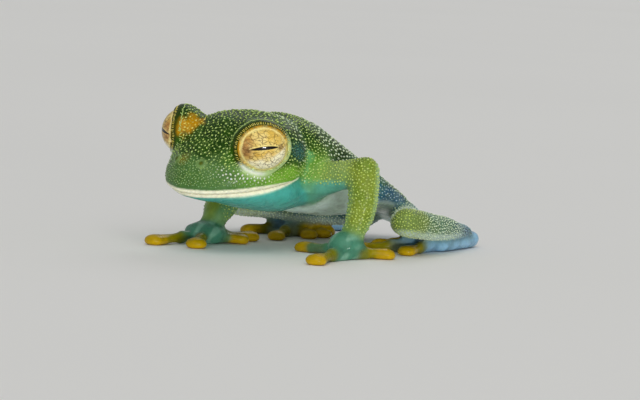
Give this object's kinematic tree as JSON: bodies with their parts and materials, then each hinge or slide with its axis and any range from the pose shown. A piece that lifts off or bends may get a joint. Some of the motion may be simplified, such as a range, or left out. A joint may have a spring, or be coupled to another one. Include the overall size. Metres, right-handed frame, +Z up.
{
  "type": "glass frog",
  "caption": "Small green tree-living frog at rest on its belly side, chest raised on the forelimbs, round eyes with slit pupils, granular back, webbed hands and feet with wide toe discs.",
  "frame": {"origin": "bottom centre of the overall box, at the level of the floor under hands and feet", "axes": "+Z up, the frog faces -Y, its left side is +X"},
  "size_m": [0.0236, 0.031, 0.0123],
  "materials": {
    "skin_green": "wet green skin, densely set with pale raised granules",
    "skin_pale": "wet, slightly see-through blue-green skin, whiter underneath",
    "digit": "wet amber-yellow digits with flat discs",
    "eye": "clear wet cornea over a netted beige-gold iris with a dark slit pupil"
  },
  "bodies": {
    "root": {"head": "skin_green", "lower_jaw": "skin_pale", "trunk": "skin_green", "eye_left": "eye", "upper_arm_left": "skin_green", "forearm_left": "skin_green", "hand_left": "skin_pale", "finger_1_left": "digit", "finger_2_left": "digit", "finger_3_left": "digit", "finger_4_left": "digit", "thigh_left": "skin_pale", "shank_left": "skin_pale", "foot_left": "skin_pale", "toe_1_left": "digit", "toe_2_left": "digit", "toe_3_left": "digit", "toe_4_left": "digit", "toe_5_left": "digit", "eye_right": "eye", "upper_arm_right": "skin_green", "forearm_right": "skin_green", "hand_right": "skin_pale", "finger_1_right": "digit", "finger_2_right": "digit", "finger_3_right": "digit", "finger_4_right": "digit", "thigh_right": "skin_pale", "shank_right": "skin_pale", "foot_right": "skin_pale", "toe_1_right": "digit", "toe_2_right": "digit", "toe_3_right": "digit", "toe_4_right": "digit", "toe_5_right": "digit"}
  },
  "joints": []
}
